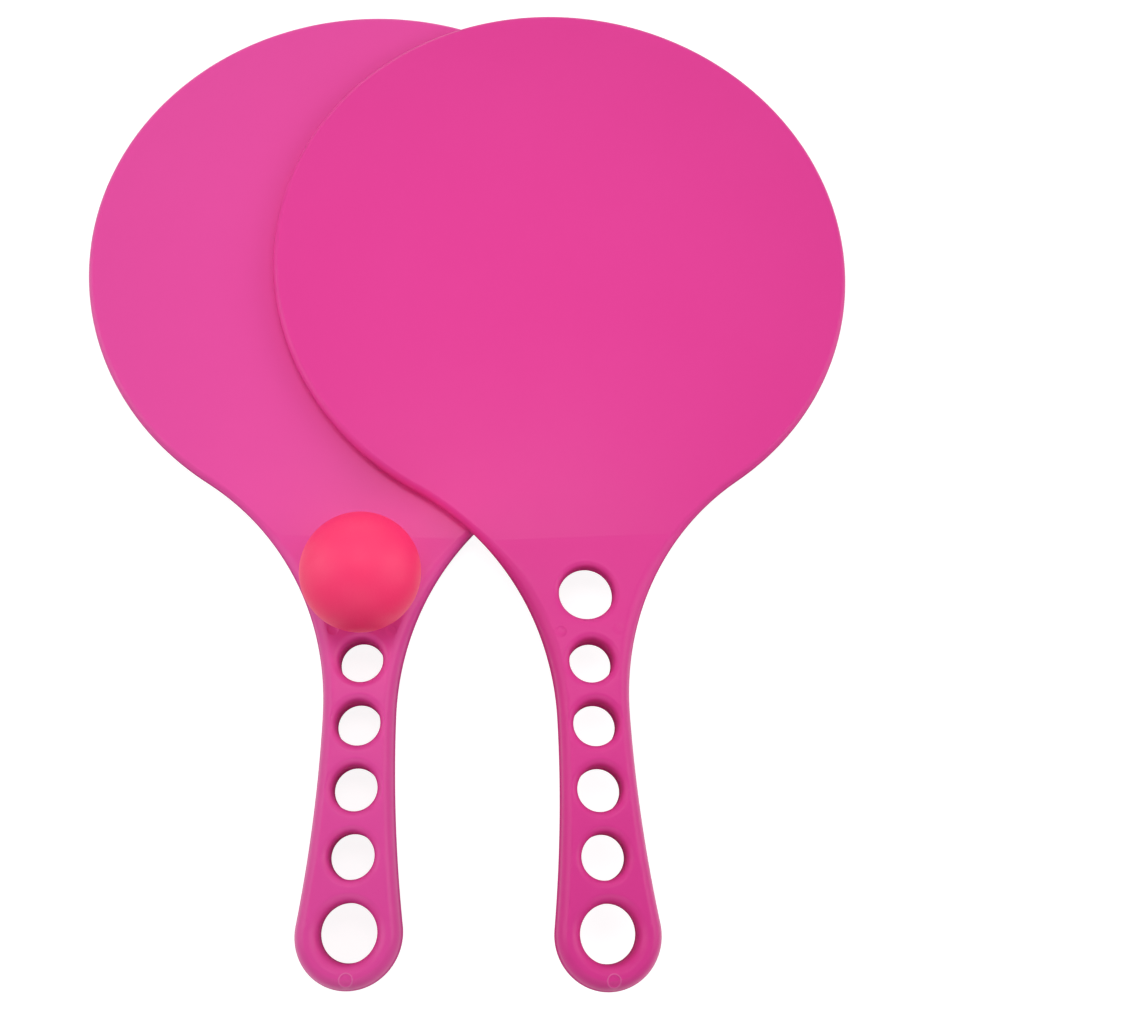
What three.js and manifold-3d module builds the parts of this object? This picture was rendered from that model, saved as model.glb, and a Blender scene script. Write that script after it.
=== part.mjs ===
// A beach tennis set: two rackets, each moulded in one piece, and their ball.
// Millimetres, +Z up. The rackets lie flat with their blades towards +Y.
// The origin is on the surface that the set lies on, under the middle of the set.

import * as THREE from "three";
import { mergeVertices } from "three/addons/utils/BufferGeometryUtils.js";
import Module from "manifold-3d";

// Outline of a racket: a round blade, a throat that sweeps in to the waist,
// and a grip that flares out again to a round end with a hole to hang it by
const bladeDiameter = 205;
const throatLength = 62;
const waistWidth = 23.3;
const gripLength = 66;
const endFlare = 4.7;

// Thickness, the same above and below the middle plane
const bladeThickness = 6;
const gripThickness = 15;
const creaseSetback = 2.9;
const wedgeLength = 48;
const creaseSlopeShare = 0.45;

// Width of the rounded border, from the flat face out to the side
const bladeBorder = 2;
const throatBorder = 4.2;
const gripBorder = 3.5;
const borderLead = 8;

// Holes through the throat and grip, with rounded lips on both faces
const throatHoleSetback = 22;
const throatHoleDiameter = 17.8;
const throatHoleLip = 1.2;
const gripHoleDiameter = 14.2;
const gripHoleLip = 1.9;
const gripHoleShares = [0.215, 0.404, 0.594, 0.786];
const hangHoleDiameter = 17.8;
const hangHoleLip = 2.3;
const cutOverrun = 4;

// The ball, and how the set lies
const ballDiameter = 38;
const frontAcross = 65;
const frontBack = 0.7;
const frontTurn = THREE.MathUtils.degToRad(3.33);
const restGap = 0.3;

// Fineness of the curved faces
const bladeSteps = 30;
const throatSteps = 13;
const gripSteps = 6;
const endSteps = 9;
const borderSteps = 3;
const holeSteps = 28;
const lipSteps = 3;
const ballSteps = 36;

const wasm = await Module();
wasm.setup();

// Sizes that follow from the ones above. Places along a racket are distances
// from the middle of its blade towards the end of its grip.
const bladeRadius = bladeDiameter / 2;
const waistHalf = waistWidth / 2;
const endRadius = waistHalf + endFlare;
const waistPlace = bladeRadius + throatLength;
const hangHolePlace = waistPlace + gripLength;
const endPlace = hangHolePlace + endRadius;
const creasePlace = bladeRadius + creaseSetback;
const shoulderPlace = creasePlace + wedgeLength;
const throatHolePlace = bladeRadius + throatHoleSetback;
const bladeHalf = bladeThickness / 2;
const gripHalf = gripThickness / 2;

// Radius of the arc that leaves the waist upright and meets a round at a tangent
function sweepRadius(roundRadius, distance) {
  const rise = distance ** 2 + waistHalf ** 2 - roundRadius ** 2;
  return rise / (2 * (roundRadius - waistHalf));
}

const throatRadius = sweepRadius(bladeRadius, waistPlace);
const flareRadius = sweepRadius(endRadius, gripLength);
const bladeTangentAngle = Math.atan2(waistHalf + throatRadius, waistPlace);
const endTangentAngle = Math.atan2(waistHalf + flareRadius, gripLength);
const bladeTangentPlace = bladeRadius * Math.cos(bladeTangentAngle);
const endTangentPlace = hangHolePlace - endRadius * Math.cos(endTangentAngle);

// Half width of the outline at a place, and the direction that points out of it
function outlineAt(place) {
  const sweep = place < waistPlace ? throatRadius : flareRadius;
  if (place <= bladeTangentPlace || place >= endTangentPlace) {
    const middle = place <= bladeTangentPlace ? 0 : hangHolePlace;
    const radius = place <= bladeTangentPlace ? bladeRadius : endRadius;
    const width = Math.sqrt(Math.max(radius ** 2 - (place - middle) ** 2, 0));
    return { width, outX: width / radius, outPlace: (place - middle) / radius };
  }
  const across = Math.sqrt(sweep ** 2 - (place - waistPlace) ** 2);
  const width = waistHalf + sweep - across;
  return { width, outX: across / sweep, outPlace: (waistPlace - place) / sweep };
}

// Half thickness at a place: the flat blade, the grip, and between them a wedge that
// leaves the crease at an angle and runs out level at the shoulder of the grip
function halfThicknessAt(place) {
  const along = THREE.MathUtils.clamp((place - creasePlace) / wedgeLength, 0, 1);
  const easing = 3 * along ** 2 - 2 * along ** 3;
  const leaving = creaseSlopeShare * along * (1 - along) ** 2;
  return THREE.MathUtils.lerp(bladeHalf, gripHalf, easing + leaving);
}

// How much the half thickness grows for each length along the racket at a place
function wedgeSlopeAt(place) {
  const along = THREE.MathUtils.clamp((place - creasePlace) / wedgeLength, 0, 1);
  const easing = 6 * along * (1 - along);
  const leaving = creaseSlopeShare * (1 - along) * (1 - 3 * along);
  return ((gripHalf - bladeHalf) * (easing + leaving)) / wedgeLength;
}

// Width of the rounded border at a place
function borderAt(place) {
  const ease = THREE.MathUtils.smoothstep;
  const growing = ease(place, creasePlace - borderLead, throatHolePlace);
  const shrinking = ease(place, throatHolePlace, waistPlace);
  const upToThroat = THREE.MathUtils.lerp(bladeBorder, throatBorder, growing);
  return THREE.MathUtils.lerp(upToThroat, gripBorder, shrinking);
}

// Place on the outline whose flat face, inside the border, ends at the given place
function outlinePlaceFor(facePlace) {
  let place = facePlace;
  for (let round = 0; round < 6; round += 1) {
    place = facePlace + outlineAt(place).outPlace * borderAt(place);
  }
  return place;
}

// Places of the cross lines of a racket, from the far tip of the blade to the end
function crossPlaces() {
  const places = [];
  for (let i = 1; i <= bladeSteps; i += 1) {
    const angle = ((Math.PI - bladeTangentAngle) * i) / bladeSteps;
    places.push(-bladeRadius * Math.cos(angle));
  }
  const throatTurn = Math.PI / 2 - bladeTangentAngle;
  for (let i = 1; i <= throatSteps; i += 1) {
    const angle = throatTurn * (1 - i / throatSteps);
    places.push(waistPlace - throatRadius * Math.sin(angle));
  }
  for (let i = 1; i <= gripSteps; i += 1) {
    places.push(THREE.MathUtils.lerp(waistPlace, endTangentPlace, i / gripSteps));
  }
  for (let i = 1; i < endSteps; i += 1) {
    const angle = endTangentAngle + ((Math.PI - endTangentAngle) * i) / endSteps;
    places.push(hangHolePlace - endRadius * Math.cos(angle));
  }
  const bends = [creasePlace, shoulderPlace].map(outlinePlaceFor);
  const room = bladeBorder / 2;
  const free = places.filter((place) => bends.every((bend) => Math.abs(bend - place) > room));
  return [-bladeRadius, ...free, ...bends, endPlace].sort((a, b) => a - b);
}

// A point of the rounded border: turn runs from 1 on the flat face to 0 at the side
function borderPoint(place, turn) {
  const { width, outX, outPlace } = outlineAt(place);
  const inward = borderAt(place) * (1 - Math.cos((turn * Math.PI) / 2));
  const along = place - outPlace * inward;
  const height = halfThicknessAt(along) * Math.sin((turn * Math.PI) / 2);
  return { x: width - outX * inward, y: -along, z: height };
}

// The moulding without its holes: rings of points go round the border from the
// upper face to the lower one, and cross strips close the two faces
function blankGeometry() {
  const places = crossPlaces();
  const last = places.length - 1;
  const ringLength = 2 * last;
  const ringCount = 2 * borderSteps + 1;
  const positions = [];
  const faces = [];
  for (let ring = 0; ring < ringCount; ring += 1) {
    const turn = 1 - ring / borderSteps;
    for (let i = 0; i < ringLength; i += 1) {
      const station = i <= last ? i : ringLength - i;
      const side = i <= last ? 1 : -1;
      const point = borderPoint(places[station], turn);
      const onAxis = station === 0 || station === last;
      positions.push(onAxis ? 0 : side * point.x, point.y, point.z);
    }
  }
  const index = (ring, i) => ring * ringLength + ((i + ringLength) % ringLength);
  for (let ring = 0; ring < ringCount - 1; ring += 1) {
    for (let i = 0; i < ringLength; i += 1) {
      faces.push(index(ring, i), index(ring, i + 1), index(ring + 1, i));
      faces.push(index(ring, i + 1), index(ring + 1, i + 1), index(ring + 1, i));
    }
  }
  const bottom = ringCount - 1;
  for (let i = 0; i < last; i += 1) {
    if (i > 0) {
      faces.push(index(0, i), index(0, -i), index(0, i + 1));
      faces.push(index(bottom, i), index(bottom, i + 1), index(bottom, -i));
    }
    if (i + 1 < last) {
      faces.push(index(0, -i), index(0, -i - 1), index(0, i + 1));
      faces.push(index(bottom, -i), index(bottom, i + 1), index(bottom, -i - 1));
    }
  }
  return geometryFrom(positions, faces);
}

// The space of one hole. Its rounded lips follow the slope of the faces.
function holeGeometry(middle, radius, lip) {
  const profile = [{ reach: radius + lip, depth: -cutOverrun }];
  for (let i = 0; i <= lipSteps; i += 1) {
    const angle = (Math.PI / 2) * (i / lipSteps);
    const reach = radius + lip * (1 - Math.sin(angle));
    profile.push({ reach, depth: lip * (1 - Math.cos(angle)) });
  }
  const upper = profile.map(({ reach, depth }) => ({ reach, depth, side: 1 }));
  const lower = profile.map(({ reach, depth }) => ({ reach, depth, side: -1 }));
  const rings = [...upper, ...lower.reverse()];
  const positions = [];
  const faces = [];
  for (const { reach, depth, side } of rings) {
    for (let i = 0; i < holeSteps; i += 1) {
      const angle = (2 * Math.PI * i) / holeSteps;
      const place = middle - reach * Math.sin(angle);
      positions.push(reach * Math.cos(angle), -place, side * (halfThicknessAt(place) - depth));
    }
  }
  const index = (ring, i) => ring * holeSteps + (i % holeSteps);
  for (let ring = 0; ring + 1 < rings.length; ring += 1) {
    for (let i = 0; i < holeSteps; i += 1) {
      faces.push(index(ring, i), index(ring + 1, i), index(ring, i + 1));
      faces.push(index(ring, i + 1), index(ring + 1, i), index(ring + 1, i + 1));
    }
  }
  for (let i = 1; i + 1 < holeSteps; i += 1) {
    faces.push(index(0, 0), index(0, i), index(0, i + 1));
    const end = rings.length - 1;
    faces.push(index(end, 0), index(end, i + 1), index(end, i));
  }
  return geometryFrom(positions, faces);
}

function geometryFrom(positions, faces) {
  const geometry = new THREE.BufferGeometry();
  geometry.setAttribute("position", new THREE.Float32BufferAttribute(positions, 3));
  geometry.setIndex(faces);
  return geometry;
}

function solidFrom(geometry) {
  const vertProperties = new Float32Array(geometry.getAttribute("position").array);
  const triVerts = new Uint32Array(geometry.getIndex().array);
  return new wasm.Manifold(new wasm.Mesh({ numProp: 3, vertProperties, triVerts }));
}

function geometryOf(solid) {
  const mesh = solid.getMesh();
  return geometryFrom(Array.from(mesh.vertProperties), Array.from(mesh.triVerts));
}

// One racket, with the middle of its blade at the origin and its grip towards -Y
function racketGeometry() {
  const gripSpan = hangHolePlace - throatHolePlace;
  const holes = [
    holeGeometry(throatHolePlace, throatHoleDiameter / 2, throatHoleLip),
    holeGeometry(hangHolePlace, hangHoleDiameter / 2, hangHoleLip),
  ];
  for (const share of gripHoleShares) {
    const place = throatHolePlace + share * gripSpan;
    holes.push(holeGeometry(place, gripHoleDiameter / 2, gripHoleLip));
  }
  let solid = solidFrom(blankGeometry());
  for (const hole of holes) {
    solid = solid.subtract(solidFrom(hole));
  }
  return geometryOf(solid);
}

function ballGeometry() {
  const sphere = new THREE.SphereGeometry(ballDiameter / 2, ballSteps, ballSteps / 2);
  sphere.deleteAttribute("normal");
  sphere.deleteAttribute("uv");
  return mergeVertices(sphere, restGap / 1000);
}

// Middle of the ball where it sits in the throat hole of a racket, on the hole's lip
function ballSeat() {
  const lean = Math.atan(wedgeSlopeAt(throatHolePlace));
  const reach = ballDiameter / 2 + throatHoleLip + restGap;
  const seatRadius = throatHoleDiameter / 2 + throatHoleLip;
  const height = Math.sqrt(reach ** 2 - seatRadius ** 2) - throatHoleLip;
  const face = new THREE.Vector3(0, -throatHolePlace, halfThicknessAt(throatHolePlace));
  const upright = new THREE.Vector3(0, Math.sin(lean), Math.cos(lean));
  return face.addScaledVector(upright, height);
}

function namedMesh(name, geometry, material) {
  const mesh = new THREE.Mesh(geometry, material);
  mesh.name = name;
  return mesh;
}

// The racket below rests on the far edge of its blade and the shoulder of its grip,
// the other lies on its blade, and the ball sits in its throat hole
function buildSet() {
  const pink = { roughness: 0.42, metalness: 0 };
  const rear = new THREE.MeshStandardMaterial({ color: 0xe4509f, ...pink });
  const front = new THREE.MeshStandardMaterial({ color: 0xe6469a, ...pink });
  const coral = new THREE.MeshStandardMaterial({ color: 0xfe4b78, roughness: 0.75 });

  const rearRacket = namedMesh("rear_racket", racketGeometry(), rear);
  const frontRacket = namedMesh("front_racket", racketGeometry(), front);
  frontRacket.position.set(frontAcross, -frontBack, bladeThickness + restGap);
  frontRacket.rotation.z = frontTurn;
  const ball = namedMesh("ball", ballGeometry(), coral);
  ball.position.copy(ballSeat());

  const set = new THREE.Group();
  set.add(rearRacket, frontRacket, ball);
  const flatReach = bladeRadius - bladeBorder + shoulderPlace;
  set.rotation.x = -Math.atan2(gripHalf - bladeHalf, flatReach);

  const whole = new THREE.Group();
  whole.add(set);
  whole.updateMatrixWorld(true);
  const box = new THREE.Box3().setFromObject(whole, true);
  const middle = box.getCenter(new THREE.Vector3());
  set.position.set(-middle.x, -middle.y, -box.min.z);
  whole.updateMatrixWorld(true);
  return whole;
}

export default buildSet();
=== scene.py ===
import math

import bmesh
import bpy
from mathutils import Euler, Matrix, Vector
from mathutils.geometry import delaunay_2d_cdt


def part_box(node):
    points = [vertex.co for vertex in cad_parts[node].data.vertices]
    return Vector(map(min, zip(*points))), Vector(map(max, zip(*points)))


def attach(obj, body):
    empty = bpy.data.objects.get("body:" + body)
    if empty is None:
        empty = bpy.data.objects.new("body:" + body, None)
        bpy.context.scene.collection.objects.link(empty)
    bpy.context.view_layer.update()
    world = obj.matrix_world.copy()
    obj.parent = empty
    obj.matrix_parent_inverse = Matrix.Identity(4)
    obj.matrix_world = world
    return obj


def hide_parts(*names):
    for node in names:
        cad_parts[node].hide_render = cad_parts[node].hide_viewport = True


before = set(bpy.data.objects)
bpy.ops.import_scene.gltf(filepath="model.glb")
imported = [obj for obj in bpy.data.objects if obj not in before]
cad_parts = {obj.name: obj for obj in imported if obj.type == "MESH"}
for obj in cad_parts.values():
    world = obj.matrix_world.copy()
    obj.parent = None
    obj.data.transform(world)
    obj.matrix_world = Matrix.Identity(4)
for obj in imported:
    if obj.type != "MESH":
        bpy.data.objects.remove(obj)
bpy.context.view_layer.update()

# A beach tennis set on a pale floor: two rackets, each one moulding, and a ball.
# Lengths are millimetres unless a name says otherwise. A place along a racket is the
# distance from the middle of its blade towards the end of its grip.

MM = 0.001
TINY = 0.001

# Outline of a racket
BLADE_RADIUS = 102.5
WAIST_PLACE = BLADE_RADIUS + 62.0
WAIST_HALF = 11.65
END_RADIUS = WAIST_HALF + 4.7
HANG_PLACE = WAIST_PLACE + 66.0

# Thickness: flat blade, crease, wedge, and the grip from its shoulder on
BLADE_HALF = 3.0
GRIP_HALF = 7.5
CREASE_PLACE = BLADE_RADIUS + 2.9
WEDGE_LENGTH = 48.0
SHOULDER_PLACE = CREASE_PLACE + WEDGE_LENGTH
WEDGE_STRAIGHT = 0.35
CREASE_SOFTNESS = 0.15

# Rounded border round the flat faces
BLADE_BORDER = 2.0
THROAT_BORDER = 4.2
GRIP_BORDER = 3.5
BORDER_LEAD = 8.0
EDGE_START = 0.2
EDGE_LINE = 0.4

# Holes: place along the racket, radius, and how far the rounded lip reaches out. A lip
# goes deeper than it reaches, and the corner where it meets a border is rounded.
THROAT_PLACE = BLADE_RADIUS + 22.0
GRIP_SPAN = HANG_PLACE - THROAT_PLACE
GRIP_HOLE_SHARES = (0.215, 0.404, 0.594, 0.786)
LIP_DEPTH_SHARE = 1.3
LIP_CORNER = 0.1
HOLES = (
    [(THROAT_PLACE, 8.9, 1.9)]
    + [(THROAT_PLACE + share * GRIP_SPAN, 7.0, 2.2) for share in GRIP_HOLE_SHARES]
    + [(HANG_PLACE - 0.25, 8.75, 3.0)]
)

# Marks that the mould's pins leave in the upper face: side, place, radius, width of the
# wall, how far the disc is sunk, and how high the burr round it stands. The burr gets the
# strongest of the pale colour, which there is a painted highlight round the mark.
PIN_MARKS = (
    (-9.3, 137.6, 1.8, 0.25, 0.2, 0.0),
    (9.3, 137.6, 1.8, 0.25, 0.06, 0.0),
    (0.25, 243.4, 1.85, 0.3, 0.16, 0.18),
)
# How much stronger the pale colour is on a burr: a painted highlight
BURR_HIGHLIGHT = 2.6

# How far in from its foot an edge is fully upright, and how far in it begins to be, as
# shares of the border's width and of the lip's reach. Between the two the painted shade
# of the walls, and their dullness, fade out.
SIDE_WALL_SHARES = (0.03, 0.2)
HOLE_WALL_SHARES = (0.06, 0.42)

# The mould's halves meet in a fine line round the side and down each hole
SEAM_HALF = 0.12
SEAM_DEPTH = 0.05

# The smooth outline stays this far inside the solid's own outline
OUTLINE_TRIM = 0.04

# How the upper racket lies on the lower one, and the least that anything stands clear
STAND_GAP = 0.004
FRONT_TURN = math.radians(3.33)
SET_TILT = -math.atan2(GRIP_HALF - BLADE_HALF, BLADE_RADIUS - BLADE_BORDER + SHOULDER_PLACE)

# Fineness of the rackets: steps and rings, the spacing of points, and the room that the
# points of the flat leave at its rims
ARC_STEPS = {"blade": 104, "throat": 44, "flare": 30, "end": 30}
BORDER_TURNS = (0.45, 0.58, 0.71, 0.84, 0.93, 1.0)
SIDE_ANGLES = (31.5, 21.0, 12.0, 5.0)
LIP_ANGLES = (0.0, 15.0, 30.0, 45.0, 60.0)
WALL_ANGLES = (60.0, 76.0, 90.0)
HOLE_STEPS = 60
PIN_STEPS = 40
GUARD = 0.35
LEAST_SPACING = 0.24
CREASE_ROWS = (-0.45, -0.15, 0.15, 0.45)
CREASE_SPACING = 0.9
BLADE_SPACING = 9.0
BLADE_ROOM = 2.0
GRIP_SPACING = 1.5
GRIP_ROOM = 0.6
INSIDE_ONLY = 1
MERGE_DISTANCE = 1e-6

# The ball: rows of points stay clear of its seam by a share of the seam's half width
BALL_RADIUS = 18.99
BALL_SEAM_HALF = 0.28
BALL_SEAM_DEPTH = 0.06
BALL_ROWS = 72
BALL_STEPS = 96
BALL_CLEAR_SHARE = 1.5

# How strong the clouds in the colours are
CLOUD_AMOUNT = 0.6

# Satin plastic: how rough it is, how much the grain changes that, how much rougher it is
# where rubbed and on the walls, how strong the pale colour shows that stands for rubbed
# edges and for painted highlights, and in metres how deep the grain is
PLASTIC_ROUGHNESS = 0.32
PLASTIC_GLOSS_CHANGE = 0.12
RUBBED_ROUGHNESS = 0.08
WALL_ROUGHNESS = 0.5
RUB_AND_HIGHLIGHT_SHARE = 0.3
PLASTIC_IOR = 1.49
GRAIN_DEPTH = 0.00003

# Matte rubber
RUBBER_ROUGHNESS = 0.55
RUBBER_GLOSS_CHANGE = 0.15
RUBBER_IOR = 1.5
RUBBER_SHEEN = 0.5
PORE_DEPTH = 0.00005

# The floor: half its width in metres, its grey as the lamps light it, the white that it
# shows by itself, and the grey that it throws back on the set
FLOOR_HALF = 3.0
FLOOR_SEEN = 0.3
FLOOR_LIFT = 0.9
FLOOR_BOUNCE = 0.3

# Lamps, in metres and watts. A soft box has a place, a width, a height and a power, and
# faces the middle of the set. The gridded one hangs straight over the blades, with the
# point that it faces second and its spread in degrees last. The room shows white but
# lights nothing.
ROOM_LIGHT = 0.0
GRIDDED_BOX = ((0, 0.06, 0.42), (0, 0.06, 0), 0.25, 0.15, 0.19, 100)
SET_MIDDLE = (0, 0, 0)
SOFT_BOXES = {
    "high_box_over_blades": ((0, 0.35, 1.0), 1.4, 0.5, 0.35),
    "high_box_far": ((0, 0.8, 0.75), 1.6, 0.6, 1.2),
    "high_box_near": ((0, -1.1, 0.9), 1.4, 0.5, 4.1),
    "high_box_left": ((-1.05, 0.1, 0.9), 1.1, 1.4, 3.0),
    "high_box_right": ((1.05, 0.1, 0.9), 1.1, 1.4, 3.0),
    "low_box_left": ((-1.4, 0.1, 0.4), 1.2, 1.6, 11.4),
    "low_box_right": ((1.4, 0.1, 0.4), 1.2, 1.6, 12.0),
    "low_box_far": ((0, 1.4, 0.4), 1.6, 0.6, 4.8),
    "low_box_near": ((0, -1.4, 0.4), 1.6, 0.6, 2.2),
}

# The camera: lens and sensor, place, turn in degrees, and in metres where its view starts
LENS_LENGTH = 40.514
SENSOR_WIDTH = 36.0
CAMERA_PLACE = (4.99, -146.39, 420.32)
CAMERA_TURN = (16.982, -3.934, 0.0)
VIEW_START = 0.01


def sweep_radius(round_radius, distance):
    """Radius of the arc that leaves the waist upright and meets a round at a tangent."""
    rise = distance**2 + WAIST_HALF**2 - round_radius**2
    return rise / (2 * (round_radius - WAIST_HALF))


THROAT_RADIUS = sweep_radius(BLADE_RADIUS, WAIST_PLACE)
FLARE_RADIUS = sweep_radius(END_RADIUS, HANG_PLACE - WAIST_PLACE)
BLADE_TANGENT = math.atan2(WAIST_HALF + THROAT_RADIUS, WAIST_PLACE)
END_TANGENT = math.atan2(WAIST_HALF + FLARE_RADIUS, HANG_PLACE - WAIST_PLACE)


def smooth_step(value, low, high):
    """From 0 below the low value to 1 above the high one, without corners."""
    share = min(max((value - low) / (high - low), 0.0), 1.0)
    return share * share * (3 - 2 * share)


def mix(a, b, share):
    return a + (b - a) * share


def wedge_half(place):
    """Half thickness at a place: straight up from a sharp crease, then in a soft curve to
    the shoulder."""
    along = min(max((place - CREASE_PLACE) / WEDGE_LENGTH, 0.0), 1.0)
    curved = max(along - WEDGE_STRAIGHT, 0.0) / (1 - WEDGE_STRAIGHT)
    bulge = (1 - WEDGE_STRAIGHT) * curved**2 * (1 - curved)
    return mix(BLADE_HALF, GRIP_HALF, along + bulge)


def half_thickness(place):
    """Half thickness at a place. The crease is rounded a little, as in the mould."""
    before = wedge_half(place - CREASE_SOFTNESS)
    after = wedge_half(place + CREASE_SOFTNESS)
    return (before + 2 * wedge_half(place) + after) / 4


def border_width(place):
    """Width of the rounded border: narrow round the blade, widest beside the throat hole."""
    growing = smooth_step(place, CREASE_PLACE - BORDER_LEAD, THROAT_PLACE)
    shrinking = smooth_step(place, THROAT_PLACE, WAIST_PLACE)
    return mix(mix(BLADE_BORDER, THROAT_BORDER, growing), GRIP_BORDER, shrinking)


def half_outline():
    """Points of the right-hand half of the outline, from the far tip of the blade to the
    end of the grip: side, place, and the direction out of the outline there."""
    points = []
    for i in range(ARC_STEPS["blade"]):
        angle = (math.pi - BLADE_TANGENT) * i / ARC_STEPS["blade"]
        out = (math.sin(angle), -math.cos(angle))
        points.append((BLADE_RADIUS * out[0], BLADE_RADIUS * out[1], *out))
    for i in range(ARC_STEPS["throat"]):
        turn = (math.pi / 2 - BLADE_TANGENT) * (1 - i / ARC_STEPS["throat"])
        out = (math.cos(turn), math.sin(turn))
        side = WAIST_HALF + THROAT_RADIUS * (1 - out[0])
        points.append((side, WAIST_PLACE - THROAT_RADIUS * out[1], *out))
    for i in range(ARC_STEPS["flare"]):
        turn = (math.pi / 2 - END_TANGENT) * i / ARC_STEPS["flare"]
        out = (math.cos(turn), -math.sin(turn))
        side = WAIST_HALF + FLARE_RADIUS * (1 - out[0])
        points.append((side, WAIST_PLACE - FLARE_RADIUS * out[1], *out))
    for i in range(ARC_STEPS["end"] + 1):
        angle = END_TANGENT + (math.pi - END_TANGENT) * i / ARC_STEPS["end"]
        out = (math.sin(angle), -math.cos(angle))
        points.append((END_RADIUS * out[0], HANG_PLACE + END_RADIUS * out[1], *out))
    return points


def whole_outline():
    """The outline as a closed loop, down the right side and back up the left one."""
    right = half_outline()
    left = [(-side, place, -out, along) for side, place, out, along in right[-2:0:-1]]
    return right + left


def inset_at(side, place):
    """How far a point lies inside the outline, and the place of the outline beside it."""
    side = abs(side)
    from_blade = math.hypot(side, place)
    from_end = math.hypot(side, place - HANG_PLACE)
    if math.atan2(side, place) >= BLADE_TANGENT:
        return BLADE_RADIUS - from_blade, BLADE_RADIUS * place / max(from_blade, TINY)
    if math.atan2(side, HANG_PLACE - place) >= END_TANGENT:
        reach = END_RADIUS * (place - HANG_PLACE) / max(from_end, TINY)
        return END_RADIUS - from_end, HANG_PLACE + reach
    sweep = THROAT_RADIUS if place < WAIST_PLACE else FLARE_RADIUS
    across = WAIST_HALF + sweep - side
    distance = math.hypot(across, place - WAIST_PLACE)
    return distance - sweep, WAIST_PLACE + sweep * (place - WAIST_PLACE) / distance


def height_left(gone):
    """Share of its height that a rounded edge still has where a share of its width is
    gone. It leaves the flat at a slight angle, so that the flat has an edge."""
    reach = mix(EDGE_START, 1.0, gone)
    return math.sqrt((1 - reach * reach) / (1 - EDGE_START**2))


def width_left(height):
    """Share of its width that a rounded edge still has where it has a share of its
    height."""
    reach = math.sqrt(1 - height * height * (1 - EDGE_START**2))
    return (1 - reach) / (1 - EDGE_START)


def lower_of(a, b, blend):
    """The lower of two heights, with the corner between them rounded."""
    share = max(blend - abs(a - b), 0.0) / blend
    return min(a, b) - share * share * blend / 4


def pin_relief(side, place):
    """How far the marks of the mould's pins raise or sink the upper face."""
    relief = 0.0
    for middle, along, radius, wall, sunk, burr in PIN_MARKS:
        distance = math.hypot(side - middle, place - along)
        relief -= sunk * (1 - smooth_step(distance, radius - wall, radius))
        relief += burr * max(1 - abs(distance - radius - wall / 2) / wall, 0.0)
    return relief


def face_height(side, place):
    """Height of the upper face over the middle plane: the flat or wedge, rounded off
    towards the outline and down into the holes."""
    half = half_thickness(place)
    inset, beside = inset_at(side, place)
    height = half * height_left(1 - min(max(inset / border_width(beside), 0.0), 1.0))
    for middle, radius, lip in HOLES:
        distance = math.hypot(side, place - middle)
        if distance < radius + lip:
            gone = min(max(1 - (distance - radius) / lip, 0.0), 1.0)
            drop = lip * LIP_DEPTH_SHARE * (1 - height_left(gone))
            height = lower_of(height, half - drop, LIP_CORNER)
    return height


def ring_of(outline, angle=None, height=None, sunk=0.0):
    """A ring round the side: by its angle up the rounded border, or by its height."""
    ring = []
    for side, place, out_side, out_place in outline:
        width = border_width(place)
        half = half_thickness(place)
        level = math.sin(math.radians(angle)) if height is None else height / half
        inset = width * width_left(level) + OUTLINE_TRIM + sunk
        along = place - out_place * inset
        up = half_thickness(along) * level if height is None else height
        ring.append((side - out_side * inset, along, up))
    return ring


def hole_ring(middle, radius, lip, angle=90.0, height=None, sunk=0.0):
    """A ring down a hole: by its angle round the lip, or by its height on the wall."""
    ring = []
    level = math.cos(math.radians(angle))
    reach = radius + sunk + lip * width_left(level)
    drop = lip * LIP_DEPTH_SHARE * (1 - level)
    for i in range(HOLE_STEPS):
        turn = 2 * math.pi * i / HOLE_STEPS
        place = middle - reach * math.sin(turn)
        up = half_thickness(place) - drop if height is None else height
        ring.append((reach * math.cos(turn), place, up))
    return ring


class Spread:
    """Points over the upper face, none closer to another than the least spacing."""

    def __init__(self):
        self.points = []
        self.cells = {}

    def cell(self, side, place):
        return (math.floor(side / LEAST_SPACING), math.floor(place / LEAST_SPACING))

    def keep(self, side, place):
        self.cells.setdefault(self.cell(side, place), []).append((side, place))
        self.points.append((side, place))

    def offer(self, side, place):
        column, row = self.cell(side, place)
        for i in (-1, 0, 1):
            for j in (-1, 0, 1):
                for x, y in self.cells.get((column + i, row + j), ()):
                    if math.hypot(side - x, place - y) < LEAST_SPACING:
                        return
        self.keep(side, place)


def clear_of_rims(side, place, room):
    """True where a point is well inside the flat face, away from border and holes."""
    inset, beside = inset_at(side, place)
    if inset < border_width(beside) + room:
        return False
    return all(
        math.hypot(side, place - middle) > radius + lip + room
        for middle, radius, lip in HOLES
    )


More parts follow.
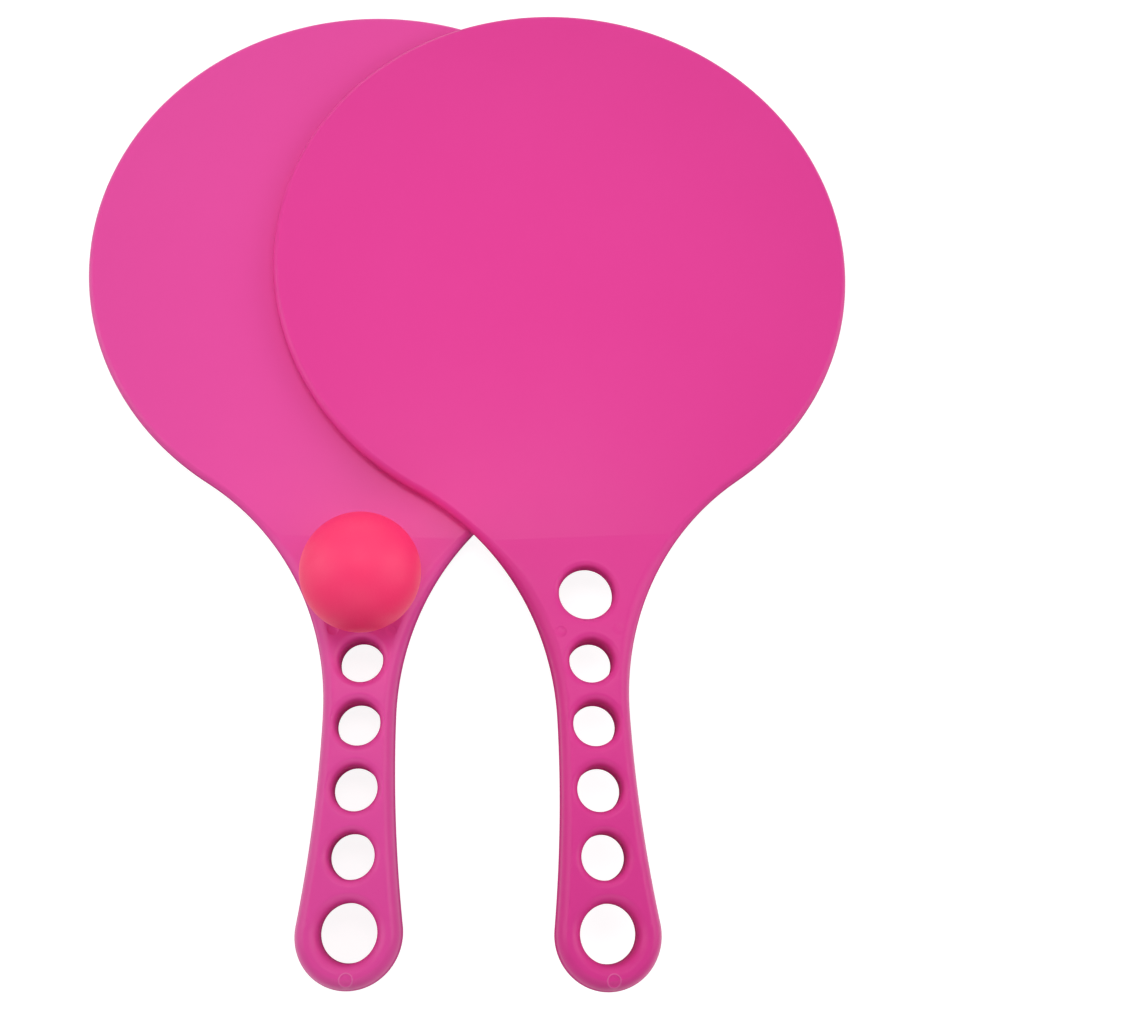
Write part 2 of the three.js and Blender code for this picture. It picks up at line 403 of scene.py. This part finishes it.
def face_points(outline, edge_ring, hole_rings):
    """The points of the upper face, with the loops that bound it first."""
    spread = Spread()
    loops = []
    for ring in [edge_ring] + hole_rings:
        start = len(spread.points)
        for side, place, _ in ring:
            spread.keep(side, place)
        loops.append(list(range(start, len(spread.points))))
    for middle, radius, lip in HOLES:
        for angle in LIP_ANGLES[-2::-1]:
            for side, place, _ in hole_ring(middle, radius, lip, angle):
                spread.offer(side, place)
    for middle, along, radius, wall, _, burr in PIN_MARKS:
        reaches = [radius - wall, radius - wall / 2, radius, radius + wall]
        if burr:
            reaches[3:] = [radius + wall / 2, radius + wall * 1.5]
        for reach in reaches:
            for i in range(PIN_STEPS):
                turn = 2 * math.pi * i / PIN_STEPS
                spread.keep(middle + reach * math.cos(turn), along + reach * math.sin(turn))
    for turn in BORDER_TURNS:
        for side, place, _ in ring_of(outline, angle=turn * 90):
            spread.offer(side, place)
    for side, place, out_side, out_place in outline:
        inset = border_width(place) + GUARD
        spread.offer(side - out_side * inset, place - out_place * inset)
    for middle, radius, lip in HOLES:
        for side, place, _ in hole_ring(middle, radius + lip + GUARD, 0.0):
            if inset_at(side, place)[0] > GRIP_ROOM:
                spread.offer(side, place)
    fill_crease(spread)
    blade_end = CREASE_PLACE - BLADE_ROOM
    grip_start = CREASE_PLACE - GRIP_SPACING
    fill_flat(spread, BLADE_SPACING, -BLADE_RADIUS, blade_end, BLADE_ROOM)
    fill_flat(spread, GRIP_SPACING, grip_start, HANG_PLACE + END_RADIUS, GRIP_ROOM)
    return spread.points, loops


def fill_crease(spread):
    """Rows of points close on both sides of the crease keep it sharp."""
    steps = int(BLADE_RADIUS / CREASE_SPACING)
    for shift in CREASE_ROWS:
        for i in range(-steps, steps + 1):
            side, place = i * CREASE_SPACING, CREASE_PLACE + shift
            if clear_of_rims(side, place, GUARD):
                spread.offer(side, place)


def fill_flat(spread, spacing, start, stop, room):
    """Rows of points over the flat between two places."""
    row_gap = spacing * math.sqrt(3) / 2
    for row in range(int((stop - start) / row_gap) + 1):
        place = start + row * row_gap
        columns = int(BLADE_RADIUS / spacing) + 1
        for column in range(-columns, columns + 1):
            side = (column + 0.5 * (row % 2)) * spacing
            if clear_of_rims(side, place, room):
                spread.offer(side, place)


def racket_mesh(name):
    """One racket: an upper and a lower face, the rounded side between them, and the
    walls of the six holes, all as one closed skin."""
    outline = whole_outline()
    edge_ring = ring_of(outline, angle=SIDE_ANGLES[0])
    hole_rings = [hole_ring(*hole, angle=LIP_ANGLES[-1]) for hole in HOLES]
    points, loops = face_points(outline, edge_ring, hole_rings)
    flat = [Vector(point) for point in points]
    bounds = [loops[0]] + [loop[::-1] for loop in loops[1:]]
    found, _, cells, origins, _, sources = delaunay_2d_cdt(
        flat, [], bounds, INSIDE_ONLY, MERGE_DISTANCE, True
    )
    own_index = {}
    for index, origin in enumerate(origins):
        for point in origin:
            own_index[point] = index
    vertices = []
    faces = []
    for side, place in found:
        vertices.append((side, place, face_height(side, place) + pin_relief(side, place)))
    lower_start = len(vertices)
    for side, place in found:
        vertices.append((side, place, -face_height(side, place)))
    # A cell of the face lies in the outline, which is source 0, and in no hole
    for cell, source in zip(cells, sources):
        if 0 in source and len(source) == 1:
            faces.append(list(cell))
            faces.append([lower_start + index for index in reversed(cell)])

    def add_ring(ring, sign):
        start = len(vertices)
        vertices.extend((side, place, sign * height) for side, place, height in ring)
        return list(range(start, len(vertices)))

    def join(upper, lower):
        count = len(upper)
        for i in range(count):
            after = (i + 1) % count
            faces.append([upper[i], upper[after], lower[after], lower[i]])

    def close_side(loop, rings, seam):
        upper = [own_index[index] for index in loop]
        lower = [lower_start + index for index in upper]
        above = [upper] + [add_ring(ring, 1) for ring in rings]
        below = [lower] + [add_ring(ring, -1) for ring in rings]
        chain = above + [add_ring(seam, 1)] + below[::-1]
        for first, second in zip(chain, chain[1:]):
            join(first, second)

    side_rings = [ring_of(outline, angle=angle) for angle in SIDE_ANGLES[1:]]
    side_rings.append(ring_of(outline, height=SEAM_HALF))
    close_side(loops[0], side_rings, ring_of(outline, height=0.0, sunk=SEAM_DEPTH))
    for hole, loop in zip(HOLES, loops[1:]):
        wall_rings = [hole_ring(*hole, angle=angle) for angle in WALL_ANGLES[1:]]
        wall_rings.append(hole_ring(*hole, height=SEAM_HALF))
        close_side(loop, wall_rings, hole_ring(*hole, height=0.0, sunk=SEAM_DEPTH))

    mesh = bpy.data.meshes.new(name)
    mesh.from_pydata([(x * MM, -y * MM, z * MM) for x, y, z in vertices], [], faces)
    # The pale colour along the edges: wear, and a painted highlight
    rub_and_highlight = mesh.attributes.new("rub_and_highlight", "FLOAT", "POINT")
    rub_and_highlight.data.foreach_set("value", [rub_and_highlight_share(x, y) for x, y, _ in vertices])
    # Where the walls get their painted shade and their dullness
    wall = mesh.attributes.new("wall", "FLOAT", "POINT")
    wall.data.foreach_set("value", [wall_shade_and_dull_share(x, y) for x, y, _ in vertices])
    return mesh


def rub_and_highlight_share(side, place):
    """From 0 on the flat to 1 where the pale colour goes, which is wear and a painted
    highlight: the edge of the flat, the widest line of the side and the lips of the holes;
    more than that on the burr of a pin's mark, where it is a painted highlight."""
    inset, beside = inset_at(side, place)
    width = border_width(beside)
    share = 1 - min(max(inset / width, 0.0), 1.0)
    share = max(share, 1 - abs(inset - width) / EDGE_LINE)
    for middle, radius, lip in HOLES:
        distance = math.hypot(side, place - middle)
        share = max(share, 1 - max(distance - radius, 0.0) / lip)
    for middle, along, radius, wall, _, burr in PIN_MARKS:
        if burr:
            distance = math.hypot(side - middle, place - along)
            share = max(share, BURR_HIGHLIGHT * (1 - abs(distance - radius - wall / 2) / wall))
    return share


def wall_shade_and_dull_share(side, place):
    """From 0 on the faces to 1 on what stands upright, the walls of the holes and the
    middle of the side: duller, because the mould drags there, and deeper in colour as
    painted shade."""
    inset, beside = inset_at(side, place)
    width = border_width(beside)
    full, begin = (edge * width for edge in SIDE_WALL_SHARES)
    share = 1 - smooth_step(inset, full, begin)
    for middle, radius, lip in HOLES:
        distance = math.hypot(side, place - middle)
        full, begin = (radius + edge * lip for edge in HOLE_WALL_SHARES)
        share = max(share, 1 - smooth_step(distance, full, begin))
    return share


def tidy_normals(mesh):
    """Makes all faces point out of the closed skin and shades them smoothly."""
    skin = bmesh.new()
    skin.from_mesh(mesh)
    loose = [vertex for vertex in skin.verts if not vertex.link_faces]
    bmesh.ops.delete(skin, geom=loose, context="VERTS")
    bmesh.ops.recalc_face_normals(skin, faces=skin.faces)
    for face in skin.faces:
        face.smooth = True
    skin.to_mesh(mesh)
    skin.free()


def lay_down(mesh, turn):
    """Turns a racket and tilts it, so that blade and grip rest on the same level."""
    mesh.transform(Matrix.Rotation(SET_TILT, 4, "X") @ Matrix.Rotation(turn, 4, "Z"))


def put_where_node_is(mesh, node, stands):
    """Moves the mesh to the middle of its CAD node, or to stand on the node's level."""
    low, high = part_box(node)
    corners = [Vector(v.co) for v in mesh.vertices]
    own_low = Vector([min(c[i] for c in corners) for i in range(3)])
    own_high = Vector([max(c[i] for c in corners) for i in range(3)])
    shift = (low + high) / 2 - (own_low + own_high) / 2
    if stands:
        shift.z = low.z - own_low.z + STAND_GAP * MM
    mesh.transform(Matrix.Translation(shift))


def add_piece(name, mesh, material, body, node):
    """Shows a mesh as one piece, which moves with its body and stands for its node."""
    piece = bpy.data.objects.new(name, mesh)
    bpy.context.scene.collection.objects.link(piece)
    mesh.materials.append(material)
    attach(piece, body)
    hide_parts(node)


def ball_mesh(name):
    """The ball, with the fine seam where the halves of its mould met."""
    steps = BALL_STEPS
    slopes = [math.pi * i / BALL_ROWS - math.pi / 2 for i in range(1, BALL_ROWS)]
    seam = math.asin(BALL_SEAM_HALF / BALL_RADIUS)
    clear = [slope for slope in slopes if abs(slope) > seam * BALL_CLEAR_SHARE]
    slopes = sorted(clear + [-seam, 0.0, seam])
    vertices = [(0.0, 0.0, -BALL_RADIUS)]
    for slope in slopes:
        reach = BALL_RADIUS - (BALL_SEAM_DEPTH if slope == 0.0 else 0.0)
        across, up = reach * math.cos(slope), reach * math.sin(slope)
        for i in range(steps):
            turn = 2 * math.pi * i / steps
            vertices.append((across * math.cos(turn), across * math.sin(turn), up))
    vertices.append((0.0, 0.0, BALL_RADIUS))
    top = len(vertices) - 1
    faces = []
    for i in range(steps):
        after = (i + 1) % steps
        faces.append([0, 1 + after, 1 + i])
        faces.append([top, top - steps + i, top - steps + after])
        for row in range(len(slopes) - 1):
            low, high = 1 + row * steps, 1 + (row + 1) * steps
            faces.append([low + i, low + after, high + after, high + i])
    mesh = bpy.data.meshes.new(name)
    mesh.from_pydata([(x * MM, y * MM, z * MM) for x, y, z in vertices], [], faces)
    return mesh


# Materials


def colour_of(red, green, blue):
    """A shader colour from the 0 to 255 values that a screen shows."""

    def linear(value):
        share = value / 255
        return share / 12.92 if share <= 0.04045 else ((share + 0.055) / 1.055) ** 2.4

    return (linear(red), linear(green), linear(blue), 1.0)


def add_node(tree, kind, **settings):
    node = tree.nodes.new(kind)
    for name, value in settings.items():
        setattr(node, name, value)
    return node


def set_inputs(node, **values):
    for name, value in values.items():
        node.inputs[name.replace("_", " ")].default_value = value


def new_group(name, inputs, outputs):
    """A node group with named sockets, and its input and output nodes."""
    group = bpy.data.node_groups.new(name, "ShaderNodeTree")
    for label, kind, value in inputs:
        socket = group.interface.new_socket(name=label, in_out="INPUT", socket_type=kind)
        if value is not None:
            socket.default_value = value
    for label, kind in outputs:
        group.interface.new_socket(name=label, in_out="OUTPUT", socket_type=kind)
    return group, group.nodes.new("NodeGroupInput"), group.nodes.new("NodeGroupOutput")


def ramp_node(tree, low, high):
    """A smooth step of a value from one level to another."""
    node = add_node(tree, "ShaderNodeMapRange", interpolation_type="SMOOTHSTEP")
    node.inputs["From Min"].default_value = low
    node.inputs["From Max"].default_value = high
    return node


def math_node(tree, operation, first, second):
    """The result of one calculation with two sockets or numbers."""
    node = add_node(tree, "ShaderNodeMath", operation=operation)
    for index, value in enumerate((first, second)):
        if isinstance(value, (int, float)):
            node.inputs[index].default_value = value
        else:
            tree.links.new(value, node.inputs[index])
    return node.outputs[0]


def mix_colour(tree, factor, first, second):
    """The first colour where the factor is 0 and the second where it is 1."""
    node = add_node(tree, "ShaderNodeMix", data_type="RGBA")
    for name, value in (("Factor_Float", factor), ("A_Color", first), ("B_Color", second)):
        socket = next(s for s in node.inputs if s.identifier == name)
        if isinstance(value, (int, float, tuple)):
            socket.default_value = value
        else:
            tree.links.new(value, socket)
    return next(s for s in node.outputs if s.identifier == "Result_Color")


def moulded_skin_group():
    """The fine spark-eroded grain of a mould, as height and as a change of gloss."""
    group, given, made = new_group(
        "moulded_skin",
        [
            ("Place", "NodeSocketVector", None),
            ("Grain Scale", "NodeSocketFloat", 1800.0),
            ("Ripple Scale", "NodeSocketFloat", 60.0),
            ("Ripple Share", "NodeSocketFloat", 0.25),
        ],
        [("Height", "NodeSocketFloat"), ("Gloss Change", "NodeSocketFloat")],
    )
    link = group.links.new
    grain = add_node(group, "ShaderNodeTexNoise")
    set_inputs(grain, Detail=2.0, Roughness=0.6)
    link(given.outputs["Place"], grain.inputs["Vector"])
    link(given.outputs["Grain Scale"], grain.inputs["Scale"])
    ripple = add_node(group, "ShaderNodeTexNoise")
    set_inputs(ripple, Detail=3.0, Roughness=0.5)
    link(given.outputs["Place"], ripple.inputs["Vector"])
    link(given.outputs["Ripple Scale"], ripple.inputs["Scale"])
    waves = math_node(group, "MULTIPLY", ripple.outputs["Fac"], given.outputs["Ripple Share"])
    link(math_node(group, "ADD", grain.outputs["Fac"], waves), made.inputs["Height"])
    change = math_node(group, "ADD", grain.outputs["Fac"], ripple.outputs["Fac"])
    link(math_node(group, "SUBTRACT", change, 1.0), made.inputs["Gloss Change"])
    return group


def cloudy_colour_group():
    """Slow clouds of colour, where the pigment is not mixed quite evenly."""
    group, given, made = new_group(
        "cloudy_colour",
        [
            ("Place", "NodeSocketVector", None),
            ("Scale", "NodeSocketFloat", 14.0),
            ("Colour", "NodeSocketColor", (0.8, 0.1, 0.3, 1.0)),
            ("Cloud Colour", "NodeSocketColor", (0.7, 0.1, 0.3, 1.0)),
            ("Amount", "NodeSocketFloat", 0.5),
        ],
        [("Colour", "NodeSocketColor")],
    )
    link = group.links.new
    clouds = add_node(group, "ShaderNodeTexNoise")
    set_inputs(clouds, Detail=4.0, Roughness=0.55, Distortion=0.4)
    link(given.outputs["Place"], clouds.inputs["Vector"])
    link(given.outputs["Scale"], clouds.inputs["Scale"])
    step = ramp_node(group, low=0.3, high=0.7)
    link(clouds.outputs["Fac"], step.inputs["Value"])
    share = math_node(group, "MULTIPLY", step.outputs["Result"], given.outputs["Amount"])
    mixed = mix_colour(group, share, given.outputs["Colour"], given.outputs["Cloud Colour"])
    link(mixed, made.inputs["Colour"])
    return group


def rub_and_highlight_group():
    """A broken mask along the edges, where hands and sand have rubbed them; the pale colour
    laid with it is partly a painted highlight.
    """
    group, given, made = new_group(
        "rubbed_and_highlit_edges",
        [
            ("Place", "NodeSocketVector", None),
            ("Edge", "NodeSocketFloat", 0.0),
            ("Start", "NodeSocketFloat", 0.55),
            ("Scale", "NodeSocketFloat", 220.0),
        ],
        [("Rubbed And Highlit", "NodeSocketFloat")],
    )
    link = group.links.new
    patches = add_node(group, "ShaderNodeTexNoise")
    set_inputs(patches, Detail=5.0, Roughness=0.65)
    link(given.outputs["Place"], patches.inputs["Vector"])
    link(given.outputs["Scale"], patches.inputs["Scale"])
    spread = math_node(group, "SUBTRACT", patches.outputs["Fac"], 0.5)
    uneven = math_node(group, "ADD", given.outputs["Edge"], spread)
    over = math_node(group, "SUBTRACT", uneven, given.outputs["Start"])
    mask = ramp_node(group, low=0.0, high=0.3)
    link(over, mask.inputs["Value"])
    link(mask.outputs["Result"], made.inputs["Rubbed And Highlit"])
    return group


SKIN = moulded_skin_group()
CLOUDS = cloudy_colour_group()
RUB_AND_HIGHLIGHT = rub_and_highlight_group()


def use_group(tree, group, place, **values):
    """A node that uses a group at the place, with the values of its named sockets."""
    node = add_node(tree, "ShaderNodeGroup", node_tree=group)
    tree.links.new(place, node.inputs["Place"])
    for name, value in values.items():
        node.inputs[name.replace("_", " ")].default_value = value
    return node


def new_material(name):
    material = bpy.data.materials.new(name)
    material.use_nodes = True
    tree = material.node_tree
    shader = next(n for n in tree.nodes if n.type == "BSDF_PRINCIPLED")
    place = tree.nodes.new("ShaderNodeTexCoord").outputs["Object"]
    return material, tree, shader, place


def add_bump(tree, shader, height, distance):
    bump = add_node(tree, "ShaderNodeBump")
    bump.inputs["Distance"].default_value = distance
    tree.links.new(height, bump.inputs["Height"])
    tree.links.new(bump.outputs["Normal"], shader.inputs["Normal"])


def racket_plastic(name, colour, cloud_colour, rub_and_highlight_colour, wall_shade_colour, sheen):
    """Satin pink polypropylene, mass coloured, a little paler along the edges, as wear and
    as a painted highlight, and duller on the walls, with painted shade that deepens their
    colour."""
    material, tree, shader, place = new_material(name)
    link = tree.links.new
    skin = use_group(tree, SKIN, place, Grain_Scale=2200.0, Ripple_Scale=70.0)
    clouds = use_group(
        tree,
        CLOUDS,
        place,
        Scale=16.0,
        Colour=colour,
        Cloud_Colour=cloud_colour,
        Amount=CLOUD_AMOUNT,
    )
    rubbed_and_highlit = use_group(tree, RUB_AND_HIGHLIGHT, place, Start=0.78, Scale=260.0)
    edge = add_node(tree, "ShaderNodeAttribute", attribute_name="rub_and_highlight")
    link(edge.outputs["Fac"], rubbed_and_highlit.inputs["Edge"])
    worn_and_highlit = math_node(tree, "MULTIPLY", rubbed_and_highlit.outputs["Rubbed And Highlit"], edge.outputs["Fac"])
    share = math_node(tree, "MULTIPLY", worn_and_highlit, RUB_AND_HIGHLIGHT_SHARE)
    # Paler along the edges: wear, and a painted highlight
    skin_colour = mix_colour(tree, share, clouds.outputs["Colour"], rub_and_highlight_colour)
    wall = add_node(tree, "ShaderNodeAttribute", attribute_name="wall")
    # Deeper in colour on the walls: painted shade
    colour_with_wall_shade = mix_colour(tree, wall.outputs["Fac"], skin_colour, wall_shade_colour)
    link(colour_with_wall_shade, shader.inputs["Base Color"])
    change = math_node(tree, "MULTIPLY", skin.outputs["Gloss Change"], PLASTIC_GLOSS_CHANGE)
    even = math_node(tree, "ADD", change, PLASTIC_ROUGHNESS)
    duller = math_node(tree, "MULTIPLY", rubbed_and_highlit.outputs["Rubbed And Highlit"], RUBBED_ROUGHNESS)
    rougher = math_node(tree, "MULTIPLY", wall.outputs["Fac"], WALL_ROUGHNESS)
    uneven = math_node(tree, "ADD", even, duller)
    link(math_node(tree, "ADD", uneven, rougher), shader.inputs["Roughness"])
    shader.inputs["IOR"].default_value = PLASTIC_IOR
    shader.inputs["Specular IOR Level"].default_value = sheen
    add_bump(tree, shader, skin.outputs["Height"], GRAIN_DEPTH)
    return material


def ball_rubber(name):
    """Matte coral rubber with fine pores."""
    material, tree, shader, place = new_material(name)
    link = tree.links.new
    skin = use_group(
        tree, SKIN, place, Grain_Scale=1500.0, Ripple_Scale=240.0, Ripple_Share=0.5
    )
    clouds = use_group(
        tree,
        CLOUDS,
        place,
        Scale=45.0,
        Colour=colour_of(255, 47, 110),
        Cloud_Colour=colour_of(254, 43, 106),
        Amount=CLOUD_AMOUNT,
    )
    link(clouds.outputs["Colour"], shader.inputs["Base Color"])
    change = math_node(tree, "MULTIPLY", skin.outputs["Gloss Change"], RUBBER_GLOSS_CHANGE)
    link(math_node(tree, "ADD", change, RUBBER_ROUGHNESS), shader.inputs["Roughness"])
    shader.inputs["IOR"].default_value = RUBBER_IOR
    shader.inputs["Specular IOR Level"].default_value = RUBBER_SHEEN
    add_bump(tree, shader, skin.outputs["Height"], PORE_DEPTH)
    return material


def seen_by_ray(tree):
    """One where the camera looks, also by way of a gloss or a glass, and zero for light
    that only bounces."""
    paths = add_node(tree, "ShaderNodeLightPath").outputs
    looked_at = math_node(tree, "MAXIMUM", paths["Is Camera Ray"], paths["Is Glossy Ray"])
    return math_node(tree, "MAXIMUM", looked_at, paths["Is Transmission Ray"])


def floor_material():
    """A pale floor that the camera sees as white, apart from the set's soft shadow."""
    material = bpy.data.materials.new("pale_floor")
    material.use_nodes = True
    tree = material.node_tree
    tree.nodes.clear()
    link = tree.links.new
    seen = seen_by_ray(tree)
    pale = add_node(tree, "ShaderNodeBsdfDiffuse")
    pale.inputs["Color"].default_value = (FLOOR_SEEN, FLOOR_SEEN, FLOOR_SEEN, 1)
    lift = add_node(tree, "ShaderNodeEmission")
    lift.inputs["Strength"].default_value = FLOOR_LIFT
    shown = add_node(tree, "ShaderNodeAddShader")
    link(pale.outputs[0], shown.inputs[0])
    link(lift.outputs[0], shown.inputs[1])
    dim = add_node(tree, "ShaderNodeBsdfDiffuse")
    dim.inputs["Color"].default_value = (FLOOR_BOUNCE, FLOOR_BOUNCE, FLOOR_BOUNCE, 1)
    choice = add_node(tree, "ShaderNodeMixShader")
    link(seen, choice.inputs[0])
    link(dim.outputs[0], choice.inputs[1])
    link(shown.outputs[0], choice.inputs[2])
    output = add_node(tree, "ShaderNodeOutputMaterial")
    link(choice.outputs[0], output.inputs["Surface"])
    return material


def add_floor():
    half = FLOOR_HALF
    mesh = bpy.data.meshes.new("pale_floor")
    corners = [(-half, -half, 0), (half, -half, 0), (half, half, 0), (-half, half, 0)]
    mesh.from_pydata(corners, [], [(0, 1, 2, 3)])
    mesh.materials.append(floor_material())
    floor = bpy.data.objects.new("pale_floor", mesh)
    bpy.context.scene.collection.objects.link(floor)


def add_soft_box(name, place, aim, width, height, power, spread=180):
    """A soft box. A grid on its front narrows its light to a spread in degrees."""
    lamp = bpy.data.lights.new(name, "AREA")
    lamp.shape = "RECTANGLE"
    lamp.size = width
    lamp.size_y = height
    lamp.energy = power
    lamp.spread = math.radians(spread)
    box = bpy.data.objects.new(name, lamp)
    box.location = place
    box.rotation_euler = (Vector(aim) - Vector(place)).to_track_quat("-Z", "Y").to_euler()
    bpy.context.scene.collection.objects.link(box)


def add_room_light(strength):
    """The white room that the camera and the glosses see, and the light that it gives."""
    world = bpy.data.worlds.new("studio_room")
    bpy.context.scene.world = world
    world.use_nodes = True
    tree = world.node_tree
    background = next(n for n in tree.nodes if n.type == "BACKGROUND")
    seen = seen_by_ray(tree)
    level = add_node(tree, "ShaderNodeMapRange")
    level.inputs["To Min"].default_value = strength
    level.inputs["To Max"].default_value = 1.0
    tree.links.new(seen, level.inputs["Value"])
    tree.links.new(level.outputs["Result"], background.inputs["Strength"])
    background.inputs["Color"].default_value = (1, 1, 1, 1)


def add_camera():
    """The camera looks down on the grips, from a little to their side."""
    lens = bpy.data.cameras.new("camera")
    lens.sensor_width = SENSOR_WIDTH
    lens.lens = LENS_LENGTH
    lens.clip_start = VIEW_START
    camera = bpy.data.objects.new("camera", lens)
    camera.location = Vector(CAMERA_PLACE) * MM
    camera.rotation_euler = Euler([math.radians(turn) for turn in CAMERA_TURN], "XYZ")
    bpy.context.scene.collection.objects.link(camera)
    bpy.context.scene.camera = camera


# The wall colours are painted shade; the paler edge colours are wear and painted highlight
pink = racket_plastic(
    "pink_plastic",
    colour=colour_of(228, 63, 151),
    cloud_colour=colour_of(227, 60, 149),
    rub_and_highlight_colour=colour_of(238, 118, 180),
    wall_shade_colour=colour_of(214, 53, 136),
    sheen=0.16,
)
cool_pink = racket_plastic(
    "cool_pink_plastic",
    colour=colour_of(233, 76, 162),
    cloud_colour=colour_of(231, 73, 160),
    rub_and_highlight_colour=colour_of(240, 126, 184),
    wall_shade_colour=colour_of(216, 60, 144),
    sheen=0.2,
)
coral = ball_rubber("coral_rubber")

rear = racket_mesh("lower_racket")
tidy_normals(rear)
front = rear.copy()
front.name = "upper_racket"
lay_down(rear, 0.0)
lay_down(front, FRONT_TURN)
put_where_node_is(rear, "rear_racket", True)
put_where_node_is(front, "front_racket", True)
ball = ball_mesh("coral_ball")
tidy_normals(ball)
put_where_node_is(ball, "ball", False)

add_piece("lower_racket", rear, cool_pink, "rear", "rear_racket")
add_piece("upper_racket", front, pink, "front", "front_racket")
add_piece("coral_ball", ball, coral, "ball", "ball")

add_floor()
add_room_light(ROOM_LIGHT)
add_soft_box("gridded_box_over_blades", *GRIDDED_BOX)
for name, (place, width, height, power) in SOFT_BOXES.items():
    add_soft_box(name, place, SET_MIDDLE, width, height, power)
add_camera()

bpy.context.scene.view_settings.view_transform = "Standard"
